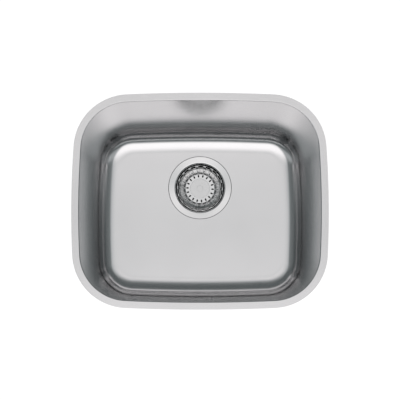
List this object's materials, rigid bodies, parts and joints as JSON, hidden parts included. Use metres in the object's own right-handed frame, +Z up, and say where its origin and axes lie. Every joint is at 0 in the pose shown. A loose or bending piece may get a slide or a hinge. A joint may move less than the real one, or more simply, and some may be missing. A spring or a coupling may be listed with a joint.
{
  "type": "undermount kitchen sink",
  "caption": "Undermount kitchen sink: one pressed steel bowl with rounded corners and a flat flange, its drain set to the back, with a lift-out basket strainer and a tailpiece.",
  "frame": {"origin": "centre of the rim's flat top face, which meets the underside of the worktop", "axes": "+X to the right along the bowl's length, +Y to the back where the drain sits, +Z up out of the bowl"},
  "size_m": [0.4248, 0.3608, 0.362],
  "materials": {
    "satin_steel": "fine satin stainless steel",
    "polished_steel": "bright polished stainless steel",
    "pad_rubber": "matt sound damping pad",
    "seal_rubber": "matt black rubber",
    "fibre": "pressed brown fibre",
    "nut_plastic": "moulded dark grey plastic",
    "nylon": "natural white nylon",
    "plated_brass": "bright plated brass tube"
  },
  "bodies": {
    "sink": {"sink_bowl": "satin_steel", "floor_pad": "pad_rubber", "front_pad": "pad_rubber", "back_pad": "pad_rubber", "left_pad": "pad_rubber", "right_pad": "pad_rubber", "strainer_body": "polished_steel", "strainer_spigot": "polished_steel", "flange_seal": "seal_rubber", "under_gasket": "seal_rubber", "friction_ring": "fibre", "locknut": "nut_plastic", "guide_spider": "satin_steel", "outlet_washer": "nylon", "tailpiece": "plated_brass", "slip_nut": "nut_plastic"},
    "sleeve": {"catch_sleeve": "nylon"},
    "basket": {"basket_shell": "polished_steel", "hub_cap": "satin_steel", "stem": "satin_steel", "spacer_tube": "satin_steel", "seal_retainer": "satin_steel", "stopper_seal": "seal_rubber", "seal_cup": "satin_steel", "stem_nut": "satin_steel"}
  },
  "joints": [
    {"name": "basket_turn", "type": "hinge", "parent": "sink", "child": "sleeve", "pos_m": [0, 0.0493, -0.247], "axis": [0, 0, 1], "continuous": true},
    {"name": "basket_lift", "type": "slide", "parent": "sleeve", "child": "basket", "axis": [0, 0, 1], "range_m": [-0.007, 0.29]}
  ]
}
